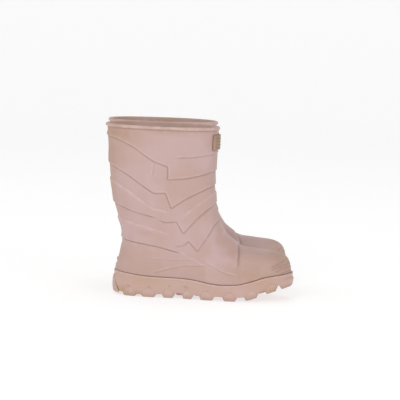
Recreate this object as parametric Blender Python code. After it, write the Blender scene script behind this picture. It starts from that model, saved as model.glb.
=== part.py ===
"""A pair of child's pull-on winter boots with a moulded wrapped-bandage upper.

Lengths are in millimetres in the boot's own frame until a mesh is made: x runs from the heel to the
toe, y towards the wearer's outer side, z up from the ground. Each boot hangs on an empty that turns it
toe-out and sets it beside the other. The left boot is the right one mirrored.
"""

import math

import bmesh
import bpy
import numpy as np
from mathutils import Matrix

MM = 0.001

# The pair
BOOT_SPACING = 93.0
TOE_OUT_DEG = 5.5
BOOT_MIDDLE_X = 87.8
LEFT_STANDS_BACK = 1.5

# Upper, from the rim down to the edge of the sole. Each row is one slice through the boot, a closed
# outline on the line from its back point to its front point:
# back x, back z, front x, front z, half width, widest at, fore and aft roundness, sag, toe swing
SECTIONS = (
    (-10.8, 179.0, 105.8, 178.2, 39.5, 0.50, 2.3, 2.3, 0.00, 0.0),
    (-8.3, 152.0, 105.4, 152.0, 39.0, 0.50, 2.3, 2.3, 0.00, 0.0),
    (-5.8, 125.0, 103.6, 127.0, 38.2, 0.50, 2.3, 2.3, 0.00, 0.0),
    (-2.0, 101.0, 105.0, 104.0, 36.8, 0.50, 2.3, 2.3, 0.00, 0.0),
    (3.6, 81.0, 108.8, 86.0, 34.8, 0.50, 2.3, 2.3, 0.00, 0.0),
    (8.2, 63.0, 116.9, 69.0, 33.2, 0.52, 2.3, 2.3, 0.05, 0.5),
    (8.2, 52.0, 127.4, 58.8, 32.4, 0.55, 2.3, 2.4, 0.15, 1.0),
    (6.4, 44.0, 139.5, 52.8, 32.6, 0.58, 2.3, 2.5, 0.30, 1.8),
    (5.1, 38.0, 156.0, 50.9, 33.2, 0.61, 2.3, 2.6, 0.45, 2.6),
    (4.4, 33.5, 171.5, 49.2, 33.8, 0.63, 2.3, 2.7, 0.60, 3.4),
    (3.8, 30.2, 181.0, 45.0, 34.4, 0.65, 2.3, 2.8, 0.75, 4.0),
    (3.2, 27.6, 185.8, 37.4, 34.8, 0.66, 2.3, 2.9, 0.90, 4.5),
    (2.6, 25.5, 187.4, 29.0, 35.0, 0.66, 2.3, 3.0, 1.00, 5.0),
)
LAST = len(SECTIONS) - 1
WAIST = 0.15
WAIST_AT = 0.36
WAIST_SPREAD = 0.17
# How far the sole's edge dips below its straight line, at fractions of the length
SAG = ((0.0, 0.0), (0.2, -4.2), (0.42, -6.0), (0.62, -11.1), (0.7, -10.7), (0.79, -6.9), (0.87, -2.6), (1.0, 0.0))

WALL = 2.8
GAP = 0.3
RIM_BEAD = 1.9
# The bead's slices from below it to the rim, and the share of RIM_BEAD that each stands out by
BEAD_ROWS = ((0.20, 0.4), (0.14, 1.0), (0.04, 1.0), (0.0, 0.4))

# Sole: the lip stands outside the upper's foot, which sits in the recess behind it
LIP_INSET = 2.5
LIP_PROUD = 1.3
SIDE_PROUD = 1.8
FOOT_WALL = 2.2
RECESS_FLOOR = ((0.0, 14.0), (0.35, 13.5), (0.6, 10.0), (0.72, 10.0), (0.8, 11.6), (0.88, 16.0), (1.0, 23.0))
SHELL_FLOOR = 2.5
# Side wall's rows from the tread up to the lip: how far it stands out, and its share of the wall's height
SIDE_ROWS = ((-2.0, 0.0), (SIDE_PROUD - 0.8, 0.1), (SIDE_PROUD, 0.45), (LIP_PROUD, 0.92), (0.4 * LIP_PROUD, 1.0))
TREAD_BASE = 4.6
LUG_ROOT = 6.4
# Height of the tread above the ground along the boot
TOE_SPRING = ((134.0, 0.0), (146.0, 2.0), (156.0, 5.4), (167.0, 9.4), (181.0, 13.6), (190.0, 15.6))
LUG_MIDDLES = (20.8, 41.2, 61.8, 82.0, 102.2, 126.2, 148.4, 168.4, 181.0)
LUG_LENGTHS = (13.5, 14.0, 11.5, 10.5, 14.0, 13.5, 13.0, 11.0, 9.0)
LUG_DEPTH = 15.0
LUG_DRAFT = 1.2
LUG_CHANNEL = 4.0
CENTRE_LUG = 9.0
CENTRE_LUG_HALF = 9.5
TOE_LUG_HALF = 13.0

# Heel bumper, a pad let into the back of the sole
BUMPER_THICK = 2.7
BUMPER_TOP = 20.5
BUMPER_BOTTOM = 1.8
BUMPER_HALF_TOP = 9.0
BUMPER_HALF_BOTTOM = 21.0
BUMPER_PLAY = 0.8
BUMPER_SEAT = 0.9
BUMPER_ROWS = 6
BUMPER_COLUMNS = 9

# Front plate
PLATE_HALF = 17.0
PLATE_TOP = 170.0
PLATE_BOTTOM = 153.5
PLATE_THICK = 2.8
PLATE_GAP = 0.5
# Share of the plate's thickness at each of its level rows: bevelled ends, with ribs between
PLATE_ROWS = (0.35, 1.0, 0.7, 1.0, 0.7, 1.0, 0.7, 1.0, 0.35)

# Inside
LINING = 1.8
LINING_SEAM = 5.0
BINDING_TOP = 0.16
BINDING_EXTRA = 0.5
LINING_FLOOR = 1.5
INSOLE_THICK = 3.5
INSOLE_EDGE = 0.8
INSOLE_PLAY = 0.6
FOOT_INSET = LIP_INSET + GAP + FOOT_WALL

AROUND = 32
HALF = AROUND // 2
# Slices that the shell's inside and the linings share, so that their faces stay parallel
LEG_SLICES = (0.45, 1.4, 2.3, 3.2, 4.1, LINING_SEAM)
FOOT_SLICES = (LINING_SEAM, 6.0, 7.0, 8.0, 9.0, 10.0, 11.0)
SEAM_GAP = 0.015


def smooth_through(points):
    """A smooth curve through (x, y) points with no overshoot, as a function of x."""
    xs = np.array([p[0] for p in points], float)
    ys = np.array([p[1] for p in points], float)
    step = np.diff(xs)
    slope = np.diff(ys) / step
    tangent = np.zeros(len(xs))
    tangent[0], tangent[-1] = slope[0], slope[-1]
    for i in range(1, len(xs) - 1):
        if slope[i - 1] * slope[i] > 0:
            near = 2 * step[i] + step[i - 1]
            far = step[i] + 2 * step[i - 1]
            tangent[i] = (near + far) / (near / slope[i - 1] + far / slope[i])

    def value(x):
        x = np.clip(np.asarray(x, float), xs[0], xs[-1])
        i = np.clip(np.searchsorted(xs, x, side="right") - 1, 0, len(xs) - 2)
        h = step[i]
        s = (x - xs[i]) / h
        return (
            ys[i] * (1 + 2 * s) * (1 - s) ** 2
            + ys[i + 1] * s * s * (3 - 2 * s)
            + h * tangent[i] * s * (1 - s) ** 2
            + h * tangent[i + 1] * s * s * (s - 1)
        )

    return value


SECTION_CURVES = [smooth_through(list(enumerate(column))) for column in zip(*SECTIONS)]
SAG_CURVE = smooth_through(SAG)
RECESS_CURVE = smooth_through(RECESS_FLOOR)
SPRING_CURVE = smooth_through(TOE_SPRING)


def section_at(k):
    return [curve(k) for curve in SECTION_CURVES]


def half_outline(widest, fore, aft):
    """Fractions along and across one side of an outline, from the front point to the back point."""
    angle = np.linspace(0.0, math.pi, 721)
    c, s = np.cos(angle), np.abs(np.sin(angle))
    power = np.where(c > 0, 2.0 / fore, 2.0 / aft)
    reach = np.where(c > 0, 1.0 - widest, widest)
    along = widest + np.sign(c) * reach * np.abs(c) ** power
    return along, s**power


def outline(k):
    """One closed outline at slice k: AROUND points, front first, then the outer side, back and inner side."""
    back_x, back_z, front_x, front_z, half_width, widest, fore, aft, sag, swing = section_at(k)
    length = front_x - back_x
    along, across = half_outline(widest, fore, aft)
    waist = 1.0 - sag * WAIST * np.exp(-(((along - WAIST_AT) / WAIST_SPREAD) ** 2))
    side = half_width * across * waist
    run = np.concatenate(([0.0], np.cumsum(np.hypot(np.diff(along * length), np.diff(side)))))
    even = np.linspace(0.0, run[-1], HALF + 1)
    along = np.interp(even, run, along)
    side = np.interp(even, run, side)
    x = back_x + along * length
    z = back_z + along * (front_z - back_z) + sag * SAG_CURVE(along)
    middle = -swing * along**2
    outer = np.stack([x, middle + side, z], axis=1)
    inner = np.stack([x, middle - side, z], axis=1)[1:-1]
    return np.concatenate([outer, inner[::-1]])


def normals(k):
    """Outward normals of the upper at slice k."""
    step = 0.05
    above = outline(max(k - step, 0.0))
    below = outline(min(k + step, LAST))
    loop = outline(k)
    around = np.roll(loop, -1, axis=0) - np.roll(loop, 1, axis=0)
    normal = np.cross(below - above, around)
    return normal / np.linalg.norm(normal, axis=1, keepdims=True)


def flat_normals(loop):
    """Outward normals of an outline, seen from above."""
    around = np.roll(loop, -1, axis=0) - np.roll(loop, 1, axis=0)
    normal = np.stack([-around[:, 1], around[:, 0], np.zeros(len(loop))], axis=1)
    return -normal / np.linalg.norm(normal, axis=1, keepdims=True)


def skin(k, inset=0.0):
    """The outline at slice k moved into the boot by inset, or out of it where inset is negative."""
    return outline(k) - inset * normals(k)


def foot(inset, height=None):
    """The sole's outline moved inwards, at the sole edge's height or at a height given for each fraction."""
    loop = outline(LAST)
    moved = loop - inset * flat_normals(loop)
    if height is not None:
        moved[:, 2] = height(fraction(loop))
    return moved


def fraction(loop):
    x = loop[:, 0]
    return (x - x.min()) / (x.max() - x.min())


def shell_inside(k):
    """Inset of the shell's inside surface, which draws in near the sole to clear the lip."""
    s = min(max((k - (LAST - 3.0)) / 3.0, 0.0), 1.0)
    return WALL + (FOOT_INSET - WALL) * s * s * (3.0 - 2.0 * s)


def lining_outside(k):
    return shell_inside(k) + GAP


def lining_inside(k):
    return lining_outside(k) + LINING


def slice_at_height(height):
    """The slice whose back point is at this height."""
    found = np.linspace(0.0, LAST, 1201)
    return float(found[np.argmin(np.abs(SECTION_CURVES[1](found) - height))])


def material(name, colour, roughness):
    made = bpy.data.materials.new(name)
    made.use_nodes = True
    shader = made.node_tree.nodes["Principled BSDF"]
    shader.inputs["Base Color"].default_value = (*colour, 1.0)
    shader.inputs["Roughness"].default_value = roughness
    shader.inputs["Metallic"].default_value = 0.0
    return made


def add_object(name, points, faces, side, parent, origin=(0.0, 0.0, 0.0), look=None):
    """A mesh object from points in the boot's frame. side is 1 for the left boot and -1 for the right."""
    place = np.asarray(points, float) - np.asarray(origin, float)
    place = place * (1.0, side, 1.0) * MM
    mesh = bpy.data.meshes.new(name)
    mesh.from_pydata([tuple(p) for p in place], [], faces)
    work = bmesh.new()
    work.from_mesh(mesh)
    bmesh.ops.recalc_face_normals(work, faces=work.faces)
    work.to_mesh(mesh)
    work.free()
    mesh.shade_smooth()
    mesh.set_sharp_from_angle(angle=math.radians(40))
    obj = bpy.data.objects.new(name, mesh)
    bpy.context.scene.collection.objects.link(obj)
    obj.parent = parent
    obj.location = (origin[0] * MM, side * origin[1] * MM, origin[2] * MM)
    obj.data.materials.append(look)
    return obj


def tube_faces(rows, closed):
    """Quads between successive loops, and between the last and the first where closed."""
    faces = []
    for r in range(rows if closed else rows - 1):
        a, b = r * AROUND, ((r + 1) % rows) * AROUND
        for i in range(AROUND):
            j = (i + 1) % AROUND
            faces.append((a + i, a + j, b + j, b + i))
    return faces


def cap_faces(start):
    """Strips across a loop, each from its outer side to its inner side."""
    faces = []
    for i in range(HALF):
        ring = [i, i + 1, AROUND - i - 1, (AROUND - i) % AROUND]
        ring = [p % AROUND for p in ring]
        faces.append(tuple(start + p for p in dict.fromkeys(ring)))
    return faces


def capped_solid(loops):
    """Points and faces of a solid whose loops run from one closed end to the other."""
    faces = tube_faces(len(loops), False) + cap_faces(0) + cap_faces((len(loops) - 1) * AROUND)
    return np.concatenate(loops), faces


def ring_solid(loops):
    """Points and faces of a solid whose loops run down its outside and back up its inside."""
    return np.concatenate(loops), tube_faces(len(loops), True)


def plate_solid(outer, inner):
    """Points and faces of a solid between two grids of the same shape."""
    rows, columns = outer.shape[:2]
    count = rows * columns
    points = np.concatenate([outer.reshape(-1, 3), inner.reshape(-1, 3)])
    faces = []
    for r in range(rows - 1):
        for c in range(columns - 1):
            a = r * columns + c
            quad = (a, a + 1, a + columns + 1, a + columns)
            faces.append(quad)
            faces.append(tuple(count + p for p in quad))
    edge = [c for c in range(columns)]
    edge += [r * columns + columns - 1 for r in range(1, rows)]
    edge += [(rows - 1) * columns + c for c in range(columns - 2, -1, -1)]
    edge += [r * columns for r in range(rows - 2, 0, -1)]
    for i, a in enumerate(edge):
        b = edge[(i + 1) % len(edge)]
        faces.append((a, b, count + b, count + a))
    return points, faces


def floor_height(above):
    """Height, as a function of the fraction along the boot, of a surface this far above the recess floor."""

    def height(along):
        return RECESS_CURVE(along) + above

    return height


def shell_loops():
    bottom = [
        foot(LIP_INSET + GAP, floor_height(GAP)),
        foot(LIP_INSET + GAP),
        foot(0.0),
    ]
    outside = [skin(k) for k in np.linspace(LAST - 0.4, 0.27, 15)]
    bead = [skin(k, -share * RIM_BEAD) for k, share in BEAD_ROWS]
    rim = [skin(0.0, 0.6 * WALL), skin(0.08, WALL)]
    inside = [skin(k, shell_inside(k)) for k in LEG_SLICES[:-1] + FOOT_SLICES]
    floor = [foot(FOOT_INSET), foot(FOOT_INSET, floor_height(GAP + SHELL_FLOOR))]
    return bottom + outside + bead + rim + inside + floor


def sole_body_loops():
    edge = outline(LAST)
    tread = TREAD_BASE + SPRING_CURVE(edge[:, 0])
    loops = []
    for proud, share in SIDE_ROWS:
        loop = foot(-proud)
        loop[:, 2] = tread + share * (edge[:, 2] - GAP - tread)
        loops.append(loop)
    lip_in = foot(LIP_INSET)
    lip_in[:, 2] -= GAP
    return loops + [lip_in, foot(LIP_INSET, RECESS_CURVE)]


def side_point(x, proud, sign):
    """A point on the sole's edge at x, moved out by proud, on its outer (1) or inner (-1) side."""
    loop = outline(LAST)
    moved = loop + proud * flat_normals(loop)
    half = moved[: HALF + 1] if sign > 0 else np.concatenate([moved[HALF:], moved[:1]])
    order = np.argsort(half[:, 0])
    return np.interp(x, half[order, 0], half[order, 1])


def lug_points(middle, length, sign):
    """The eight corners of a side lug, drawn in at its foot, with its bottom face first."""
    corners = []
    for draft, root in ((LUG_DRAFT, False), (0.0, True)):
        start = middle - length / 2 + draft
        end = middle + length / 2 - draft
        for x, deep in ((start, False), (end, False), (end, True), (start, True)):
            y = side_point(x, 0.6 - draft, sign)
            if deep:
                y -= sign * min(LUG_DEPTH - 2 * draft, abs(y) - LUG_CHANNEL - draft)
            z = (LUG_ROOT if root else 0.0) + float(SPRING_CURVE(x))
            corners.append((x, y, z))
    return corners


def centre_lug_points(middle, length, half_width):
    """The eight corners of a tread block on the centre line."""
    corners = []
    for draft, root in ((LUG_DRAFT, False), (0.0, True)):
        a = length / 2 - draft
        b = half_width - draft
        drift = -SECTIONS[LAST][9] * (middle / SECTIONS[LAST][2]) ** 2
        for dx, dy in ((-a, -b), (a, -b), (a, b), (-a, b)):
            z = (LUG_ROOT if root else 0.0) + float(SPRING_CURVE(middle + dx))
            corners.append((middle + dx, drift + dy, z))
    return corners


BLOCK_FACES = ((0, 1, 2, 3), (7, 6, 5, 4), (0, 4, 5, 1), (1, 5, 6, 2), (2, 6, 7, 3), (3, 7, 4, 0))


def tread_blocks():
    """Every lug of the tread as one mesh of separate blocks."""
    blocks = []
    for middle, length in zip(LUG_MIDDLES[:-1], LUG_LENGTHS[:-1]):
        for sign in (1, -1):
            blocks.append(lug_points(middle, length, sign))
    for before, after in zip(LUG_MIDDLES[2:-2], LUG_MIDDLES[3:-1]):
        blocks.append(centre_lug_points((before + after) / 2, CENTRE_LUG, CENTRE_LUG_HALF))
    blocks.append(centre_lug_points(LUG_MIDDLES[-1], LUG_LENGTHS[-1], TOE_LUG_HALF))
    points, faces = [], []
    for block in blocks:
        start = len(points)
        points += block
        faces += [tuple(start + p for p in face) for face in BLOCK_FACES]
    return np.array(points), faces


def heel_pad_grids(grow):
    """Outer and inner grids of the bumper, grown all round by grow. It widens towards the ground."""
    edge = outline(LAST)
    flat = flat_normals(edge)
    run = np.concatenate(([0.0], np.cumsum(np.linalg.norm(np.diff(edge[:, :2], axis=0), axis=1))))
    half_height = (BUMPER_TOP - BUMPER_BOTTOM) / 2
    outer, inner = [], []
    for z in np.linspace(BUMPER_BOTTOM - grow, BUMPER_TOP + grow, BUMPER_ROWS):
        low = (BUMPER_TOP - z) / (BUMPER_TOP - BUMPER_BOTTOM)
        reach = BUMPER_HALF_TOP + low * (BUMPER_HALF_BOTTOM - BUMPER_HALF_TOP) + grow
        spots = run[HALF] + np.linspace(-reach, reach, BUMPER_COLUMNS)
        base = np.stack([np.interp(spots, run, edge[:, i]) for i in range(2)], axis=1)
        out = np.stack([np.interp(spots, run, flat[:, i]) for i in range(2)], axis=1)
        bulge = 1.0 - 0.3 * ((z - BUMPER_BOTTOM) / half_height - 1.0) ** 2
        face = LIP_PROUD + (BUMPER_THICK - BUMPER_SEAT) * bulge + grow
        seat = LIP_PROUD - BUMPER_SEAT - grow
        outer.append(np.column_stack([base + out * face, np.full(BUMPER_COLUMNS, z)]))
        inner.append(np.column_stack([base + out * seat, np.full(BUMPER_COLUMNS, z)]))
    return np.array(outer), np.array(inner)


def hide_cutter(obj):
    obj.hide_render = True
    obj.display_type = "WIRE"


def boolean(obj, operand, operation):
    modifier = obj.modifiers.new(operand.name, "BOOLEAN")
    modifier.operation = operation
    modifier.solver = "EXACT"
    modifier.object = operand


def make_shell(prefix, side, parent, look):
    points, faces = capped_solid(shell_loops())
    return add_object(f"{prefix}_shell", points, faces, side, parent, look=look)


def make_outsole(prefix, side, parent, look):
    points, faces = capped_solid(sole_body_loops())
    sole = add_object(f"{prefix}_outsole", points, faces, side, parent, look=look)
    points, faces = tread_blocks()
    lugs = add_object(f"{prefix}_lug_blocks", points, faces, side, parent, look=look)
    hide_cutter(lugs)
    points, faces = plate_solid(*heel_pad_grids(BUMPER_PLAY))
    seat = add_object(f"{prefix}_bumper_seat", points, faces, side, parent, look=look)
    hide_cutter(seat)
    boolean(sole, lugs, "UNION")
    boolean(sole, seat, "DIFFERENCE")
    return sole


def make_bumper(prefix, side, parent, look):
    points, faces = plate_solid(*heel_pad_grids(0.0))
    return add_object(f"{prefix}_heel_bumper", points, faces, side, parent, look=look)


def make_front_plate(prefix, side, parent, look):
    """A small plate on the front of the leg, curved with it, with bevelled edges and level grip ribs."""
    across = np.linspace(-1.0, 1.0, 9)
    outer, inner = [], []
    for z, rib in zip(np.linspace(PLATE_TOP, PLATE_BOTTOM, len(PLATE_ROWS)), PLATE_ROWS):
        k = slice_at_height(z + 1.0)
        loop, out = outline(k), normals(k)
        order = np.argsort(loop[:, 1])
        front = order[loop[order, 0] > 50.0]
        y = across * PLATE_HALF
        base = np.stack([np.interp(y, loop[front, 1], loop[front, i]) for i in range(3)], axis=1)
        away = np.stack([np.interp(y, loop[front, 1], out[front, i]) for i in range(3)], axis=1)
        edge = np.where(np.abs(across) > 0.99, 0.5, 1.0)
        outer.append(base + away * (PLATE_GAP + PLATE_THICK * rib * edge)[:, None])
        inner.append(base + away * PLATE_GAP)
    points, faces = plate_solid(np.array(outer), np.array(inner))
    return add_object(f"{prefix}_front_plate", points, faces, side, parent, look=look)


def make_lining(prefix, side, parent, looks):
    """Binding, leg lining, foot lining and lining sole, one below another inside the shell's wall."""
    binding = (BINDING_TOP, LEG_SLICES[0] - SEAM_GAP)
    loops = [skin(k, lining_outside(k)) for k in binding]
    loops += [skin(k, lining_inside(k) + BINDING_EXTRA) for k in binding[::-1]]
    add_object(f"{prefix}_lining_binding", *ring_solid(loops), side, parent, look=looks["binding"])
    leg = LEG_SLICES[:-1] + (LINING_SEAM - SEAM_GAP,)
    loops = [skin(k, lining_outside(k)) for k in leg]
    loops += [skin(k, lining_inside(k)) for k in leg[::-1]]
    add_object(f"{prefix}_leg_lining", *ring_solid(loops), side, parent, look=looks["lining"])
    under = floor_height(2 * GAP + SHELL_FLOOR)
    loops = [skin(k, lining_outside(k)) for k in FOOT_SLICES]
    loops += [foot(lining_outside(LAST)), foot(lining_outside(LAST), under)]
    loops += [foot(lining_inside(LAST), under), foot(lining_inside(LAST))]
    loops += [skin(k, lining_inside(k)) for k in FOOT_SLICES[::-1]]
    add_object(f"{prefix}_foot_lining", *ring_solid(loops), side, parent, look=looks["lining"])
    inset = lining_inside(LAST) + GAP
    loops = [foot(inset, under), foot(inset, floor_height(2 * GAP + SHELL_FLOOR + LINING_FLOOR))]
    add_object(f"{prefix}_lining_sole", *capped_solid(loops), side, parent, look=looks["lining"])


def make_insole(prefix, side, parent, look):
    """The loose footbed, with its origin on the line at its toe end that it lifts about."""
    inset = lining_inside(LAST) + GAP + INSOLE_PLAY
    low = 3 * GAP + SHELL_FLOOR + LINING_FLOOR
    loops = [
        foot(inset, floor_height(low)),
        foot(inset, floor_height(low + INSOLE_THICK - INSOLE_EDGE)),
        foot(inset + 1.0, floor_height(low + INSOLE_THICK)),
    ]
    points, faces = capped_solid(loops)
    tip = points[np.argmax(points[:, 0])]
    origin = (tip[0], 0.0, tip[2])
    return add_object(f"{prefix}_insole", points, faces, side, parent, origin=origin, look=look)


def boot_frame(prefix, side):
    empty = bpy.data.objects.new(f"{prefix}_boot_frame", None)
    bpy.context.scene.collection.objects.link(empty)
    turn = math.radians(TOE_OUT_DEG) * side
    middle = Matrix.Translation((-BOOT_MIDDLE_X * MM, 0.0, 0.0))
    back = LEFT_STANDS_BACK if side > 0 else 0.0
    place = Matrix.Translation((-back * MM, side * BOOT_SPACING / 2 * MM, 0.0))
    empty.matrix_world = place @ Matrix.Rotation(turn, 4, "Z") @ middle
    return empty


def main():
    for obj in list(bpy.data.objects):
        bpy.data.objects.remove(obj, do_unlink=True)
    looks = {
        "upper": material("moulded_upper", (0.60, 0.43, 0.40), 0.60),
        "sole": material("moulded_sole", (0.55, 0.40, 0.35), 0.65),
        "plate": material("front_plate", (0.50, 0.34, 0.28), 0.55),
        "lining": material("pile_lining", (0.50, 0.37, 0.33), 0.95),
        "binding": material("woven_binding", (0.46, 0.33, 0.30), 0.90),
        "insole": material("felt_insole", (0.45, 0.40, 0.37), 0.95),
    }
    for prefix, side in (("right", -1), ("left", 1)):
        frame = boot_frame(prefix, side)
        make_shell(prefix, side, frame, looks["upper"])
        make_outsole(prefix, side, frame, looks["sole"])
        make_bumper(prefix, side, frame, looks["sole"])
        make_front_plate(prefix, side, frame, looks["plate"])
        make_lining(prefix, side, frame, looks)
        make_insole(prefix, side, frame, looks["insole"])


main()
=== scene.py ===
"""Looks for a pair of child's moulded pull-on winter boots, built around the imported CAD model.

Lengths are millimetres in the boot's own frame until a mesh is made: x runs from the heel to the toe, y
towards the wearer's outer side, z up from the ground. place() turns them into the row's frame, in metres.
"""

import math

import bmesh
import bpy
import numpy as np
from mathutils import Matrix, Vector


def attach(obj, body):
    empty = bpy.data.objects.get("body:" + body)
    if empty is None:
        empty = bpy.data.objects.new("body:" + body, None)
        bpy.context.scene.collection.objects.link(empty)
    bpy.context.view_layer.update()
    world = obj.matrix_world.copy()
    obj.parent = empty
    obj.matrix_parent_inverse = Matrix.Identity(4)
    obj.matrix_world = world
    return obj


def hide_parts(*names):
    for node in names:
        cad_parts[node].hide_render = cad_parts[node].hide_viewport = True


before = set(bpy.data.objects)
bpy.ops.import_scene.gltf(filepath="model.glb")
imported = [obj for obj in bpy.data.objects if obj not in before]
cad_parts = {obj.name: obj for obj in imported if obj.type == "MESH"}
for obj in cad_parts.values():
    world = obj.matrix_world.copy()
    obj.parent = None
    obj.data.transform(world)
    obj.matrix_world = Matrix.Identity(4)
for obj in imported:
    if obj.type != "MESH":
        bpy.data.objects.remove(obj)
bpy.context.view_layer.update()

MM = 0.001

# Where the boots stand, as in the CAD
BOOT_SPACING = 93.0
TOE_OUT_DEG = 5.5
BOOT_MIDDLE_X = 87.8
LEFT_STANDS_BACK = 1.5

# Upper, from the rim down to the edge of the sole, as in the CAD:
# back x, back z, front x, front z, half width, widest at, fore and aft roundness, sag, toe swing
SECTIONS = (
    (-10.8, 179.0, 105.8, 178.2, 39.5, 0.50, 2.3, 2.3, 0.00, 0.0),
    (-8.3, 152.0, 105.4, 152.0, 39.0, 0.50, 2.3, 2.3, 0.00, 0.0),
    (-5.8, 125.0, 103.6, 127.0, 38.2, 0.50, 2.3, 2.3, 0.00, 0.0),
    (-2.0, 101.0, 105.0, 104.0, 36.8, 0.50, 2.3, 2.3, 0.00, 0.0),
    (3.6, 81.0, 108.8, 86.0, 34.8, 0.50, 2.3, 2.3, 0.00, 0.0),
    (8.2, 63.0, 116.9, 69.0, 33.2, 0.52, 2.3, 2.3, 0.05, 0.5),
    (8.2, 52.0, 127.4, 58.8, 32.4, 0.55, 2.3, 2.4, 0.15, 1.0),
    (6.4, 44.0, 139.5, 52.8, 32.6, 0.58, 2.3, 2.5, 0.30, 1.8),
    (5.1, 38.0, 156.0, 50.9, 33.2, 0.61, 2.3, 2.6, 0.45, 2.6),
    (4.4, 33.5, 171.5, 49.2, 33.8, 0.63, 2.3, 2.7, 0.60, 3.4),
    (3.8, 30.2, 181.0, 45.0, 34.4, 0.65, 2.3, 2.8, 0.75, 4.0),
    (3.2, 27.6, 185.8, 37.4, 34.8, 0.66, 2.3, 2.9, 0.90, 4.5),
    (2.6, 25.5, 187.4, 29.0, 35.0, 0.66, 2.3, 3.0, 1.00, 5.0),
)
LAST = len(SECTIONS) - 1
WAIST = 0.15
WAIST_AT = 0.36
WAIST_SPREAD = 0.17
# How far the outline dips between its ends, by its share of the length
SAG = (
    (0.0, 0.0), (0.2, -4.2), (0.42, -6.0), (0.62, -11.1),
    (0.7, -10.7), (0.79, -6.9), (0.87, -2.6), (1.0, 0.0),
)
# Walls, gaps and floors, and the sole's lip: how far in its recess lies, and how far it stands out
WALL = 2.8
GAP = 0.3
LIP_INSET = 2.5
LIP_PROUD = 1.3
FOOT_WALL = 2.2
FOOT_INSET = LIP_INSET + GAP + FOOT_WALL
SHELL_FLOOR = 2.5
# The sole's recess and the toe's lift: height by share of the length, and by x
RECESS_FLOOR = (
    (0.0, 14.0), (0.35, 13.5), (0.6, 10.0), (0.72, 10.0), (0.8, 11.6), (0.88, 16.0), (1.0, 23.0),
)
TOE_SPRING = ((134.0, 0.0), (146.0, 2.0), (156.0, 5.4), (167.0, 9.4), (181.0, 13.6), (190.0, 15.6))
# The side lugs. The last one, at the toe, runs on to the sole's tip here; in the CAD it stops short of it.
LUG_MIDDLES = (20.8, 41.2, 61.8, 82.0, 102.2, 126.2, 148.4, 168.4, 184.5)
LUG_LENGTHS = (13.5, 14.0, 11.5, 10.5, 14.0, 13.5, 13.0, 11.0, 14.0)
# How high the gaps beside the lugs reach on the side wall, by x
LUG_GAPS = (
    (5, 3.6), (31, 2.2), (51.5, 3.3), (72, 5.2), (92, 4.2), (114, 4.0), (137, 4.0), (158, 4.4), (177, 4.9),
)
LUG_HEIGHT = 4.9
LUG_DEPTH = 15.0
LUG_EDGE = 1.5
LUG_FACE_TALL = 9.6
LUG_FACE_PROUD = 0.85
CENTRE_LUG = 9.0
CENTRE_LUG_HALF = 9.5
TREAD_EDGE = 1.0
# Heel bumper
BUMPER_TOP = 20.5
BUMPER_BOTTOM = 1.8
BUMPER_HALF_TOP = 9.0
BUMPER_HALF_BOTTOM = 21.0
BUMPER_SEAT = 0.9
BUMPER_THICK = 2.7
# Front plate
PLATE_HALF = 17.0
PLATE_TOP = 170.0
PLATE_BOTTOM = 153.5
PLATE_THICK = 2.8
PLATE_GAP = 0.4
PLATE_RIBS = 5.0
# Lining and insole; the seam is at this slice
LINING = 1.8
LINING_SEAM = 5.0
LINING_FLOOR = 1.5
INSOLE_THICK = 3.5
INSOLE_PLAY = 0.6
INSOLE_DISH = 0.5

# Fineness of the meshes: points round an outline, rows from top to bottom, and strips from side to side
AROUND_UPPER = 384
AROUND_SOLE = 560
AROUND_LINING = 240
UPPER_ROWS = 218
INSIDE_ROWS = 9
WALL_ROWS = 30
LEG_PILE_ROWS = 78
FOOT_PILE_ROWS = 34
PILE_BACK_ROWS = 12
BINDING_ROWS = 9
TREAD_STRIPS = 56
BUMPER_ROWS = 27
BUMPER_COLUMNS = 45
PLATE_ROWS = 61
INSOLE_STRIPS = 40
# The upper's rows are evenly spaced along its front and back taken together, in these shares
ROW_SHARES = (0.7, 0.3)

# The rim bead, from below it over the rim to the inside: slice, and how far it stands out
BEAD = (
    (0.200, 0.0), (0.146, -0.1), (0.134, 0.1), (0.126, 0.7), (0.114, 1.3), (0.095, 1.55), (0.060, 1.65),
    (0.028, 1.55), (0.010, 1.1), (0.0, 0.3), (0.0, -0.7), (0.006, -1.6), (0.022, -2.3), (0.055, -2.8),
)
RIM_STAIN = 0.4
# How much the shell's inside is painted darker, as painted shade
INSIDE_SHADE = 0.3
# The relief starts over these slices below the rim, and ends over this height above the sole
RELIEF_START = (0.26, 0.42)
RELIEF_END = 1.2
UNEVEN = 0.12
UNEVEN_LENGTH = 34.0
# The upper is smooth where the plate sits, in front of here
PLATE_SEAT = (96.0, 99.0)

# The sole's lip: how far below its top, and how far it stands out
LIP = ((0.0, 1.0), (0.08, 1.25), (0.3, 1.45), (0.8, 1.55), (1.6, 1.5), (2.4, 1.25), (3.1, 1.1))
# The rounded foot of the side wall: how high it is, and how far it is drawn in
WALL_FOOT = ((0.45, 0.15), (0.12, 0.5), (0.0, 1.1))
# Small slots moulded over the rear lugs: x, z
SLOTS = ((20.2, 10.8), (42.0, 10.6), (62.8, 12.2), (80.2, 12.2))

# The binding's and the leg pile's top and bottom slices, and half the seam between the two piles
BINDING_SLICES = (0.165, 0.44)
PILE_TOP = 0.455
SEAM_HALF = 0.02
# How far the pile's face is drawn back to leave room for its roughness, and that roughness
PILE_DRAWN = 0.2
LEG_ROUGH = 0.34
FOOT_ROUGH = 0.3
# The insole's edge: how far it is drawn in, and how high
INSOLE_EDGE = ((0.5, 0.0), (0.1, 0.4), (0.0, 1.2), (0.0, 2.3), (0.25, 3.0), (0.8, 3.35), (1.8, INSOLE_THICK))
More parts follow.
